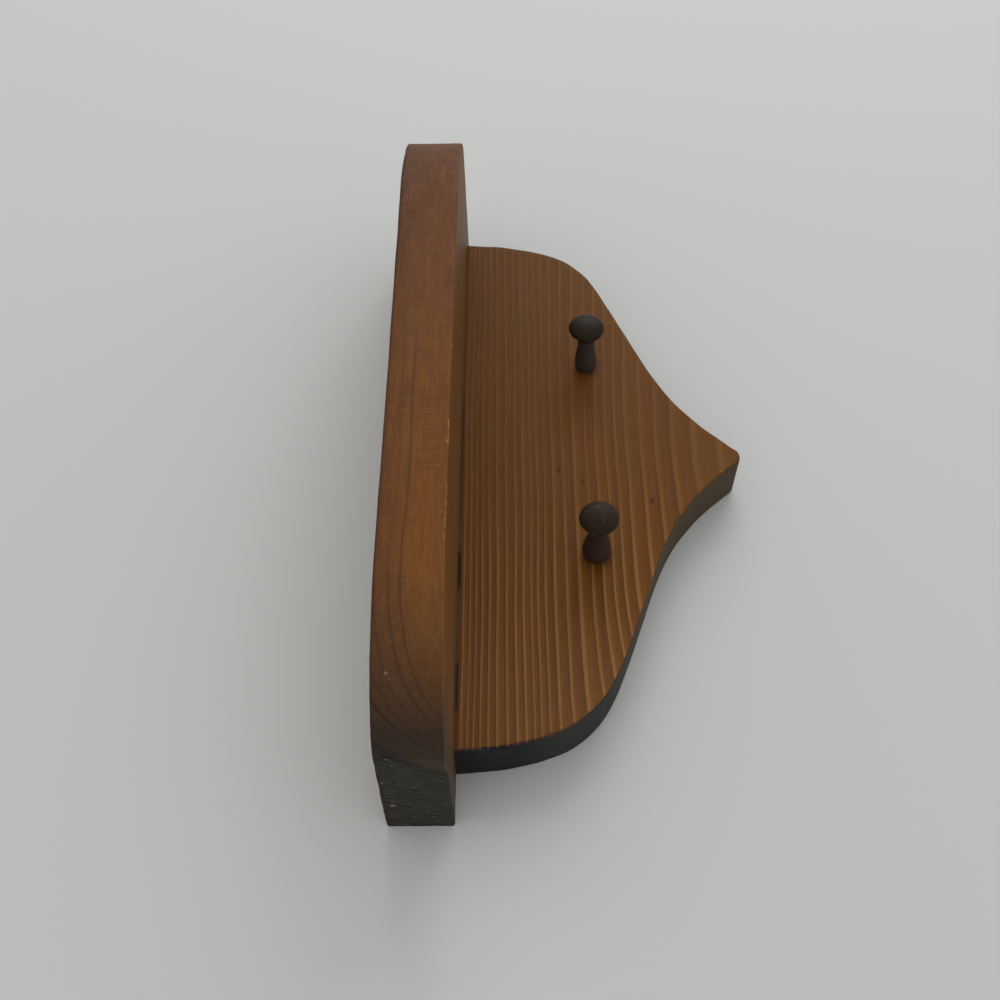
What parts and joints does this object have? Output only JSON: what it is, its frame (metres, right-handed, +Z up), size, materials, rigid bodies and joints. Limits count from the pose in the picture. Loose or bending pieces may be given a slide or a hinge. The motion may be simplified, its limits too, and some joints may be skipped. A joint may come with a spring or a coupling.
{
  "type": "wall shelf",
  "caption": "Small wall shelf of stained softwood: a round-cornered shelf board over an ogee back board with turned hanging pegs and a sawtooth hanger let into the back.",
  "frame": {"origin": "on the back board's flat back face, on the centre line, half way between the shelf's underside and the nose", "axes": "+X to the right along the shelf seen from the front, +Y back into the wall, +Z up"},
  "size_m": [0.247, 0.077, 0.1155],
  "materials": {
    "shelf_pine": "reddish brown stain, satin",
    "back_pine": "golden brown stain over strong grain, satin",
    "peg_wood": "near black stain, satin",
    "zinced_steel": "dull zinc plating",
    "hanger_steel": "brass plating, slightly tarnished"
  },
  "bodies": {
    "root": {"shelf_board": "shelf_pine", "back_board": "back_pine", "peg_left": "peg_wood", "peg_right": "peg_wood", "shelf_screw_left": "zinced_steel", "shelf_screw_right": "zinced_steel", "hanger": "hanger_steel", "hanger_nail_left": "zinced_steel", "hanger_nail_right": "zinced_steel"}
  },
  "joints": []
}
